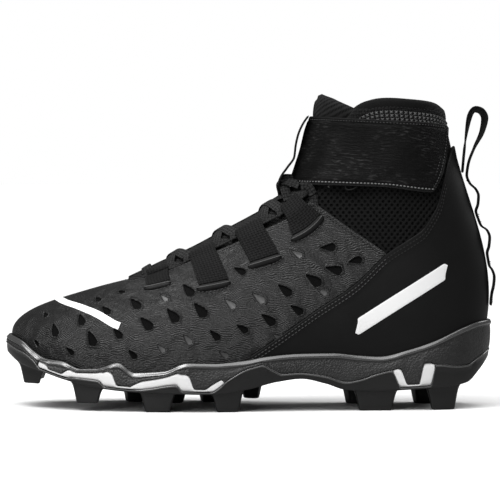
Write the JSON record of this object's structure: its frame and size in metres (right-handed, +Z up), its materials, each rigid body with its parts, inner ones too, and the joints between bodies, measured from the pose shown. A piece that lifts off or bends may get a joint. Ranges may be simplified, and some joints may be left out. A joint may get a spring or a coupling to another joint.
{
  "type": "american football cleat",
  "caption": "High-top american football cleat with a knitted bootie, textured vamp, ankle strap, lace loops, heel pull ribbon and a moulded rubber sole with lugs.",
  "frame": {"origin": "middle of the overall box, on the plane that the lugs stand on", "axes": "+Z up, the toe points along -X, the heel along +X, the outer (lateral) side of the foot faces -Y"},
  "size_m": [0.2988, 0.0997, 0.1907],
  "materials": {
    "ankle_strap": "woven hook-and-loop strap",
    "heel_ribbon": "thin webbing",
    "insole": "cloth-covered foam",
    "lace_loop_inner_1": "thin webbing",
    "lace_loop_inner_2": "thin webbing",
    "lace_loop_inner_3": "thin webbing",
    "lace_loop_inner_4": "thin webbing",
    "lace_loop_outer_1": "thin webbing",
    "lace_loop_outer_2": "thin webbing",
    "lace_loop_outer_3": "thin webbing",
    "lace_loop_outer_4": "thin webbing",
    "laces": "flat woven lace",
    "midsole": "pebbled foam-rubber cage",
    "outsole": "moulded",
    "plate": "satin white",
    "quarter": "smooth synthetic leather",
    "strap_keeper": "thin webbing",
    "tongue": "padded knit",
    "upper": "knit",
    "vamp": "textured synthetic skin"
  },
  "bodies": {
    "root": {"ankle_strap": "ankle_strap", "heel_ribbon": "heel_ribbon", "insole": "insole", "lace_loop_inner_1": "lace_loop_inner_1", "lace_loop_inner_2": "lace_loop_inner_2", "lace_loop_inner_3": "lace_loop_inner_3", "lace_loop_inner_4": "lace_loop_inner_4", "lace_loop_outer_1": "lace_loop_outer_1", "lace_loop_outer_2": "lace_loop_outer_2", "lace_loop_outer_3": "lace_loop_outer_3", "lace_loop_outer_4": "lace_loop_outer_4", "laces": "laces", "midsole": "midsole", "outsole": "outsole", "plate": "plate", "quarter": "quarter", "strap_keeper": "strap_keeper", "tongue": "tongue", "upper": "upper", "vamp": "vamp"}
  },
  "joints": []
}
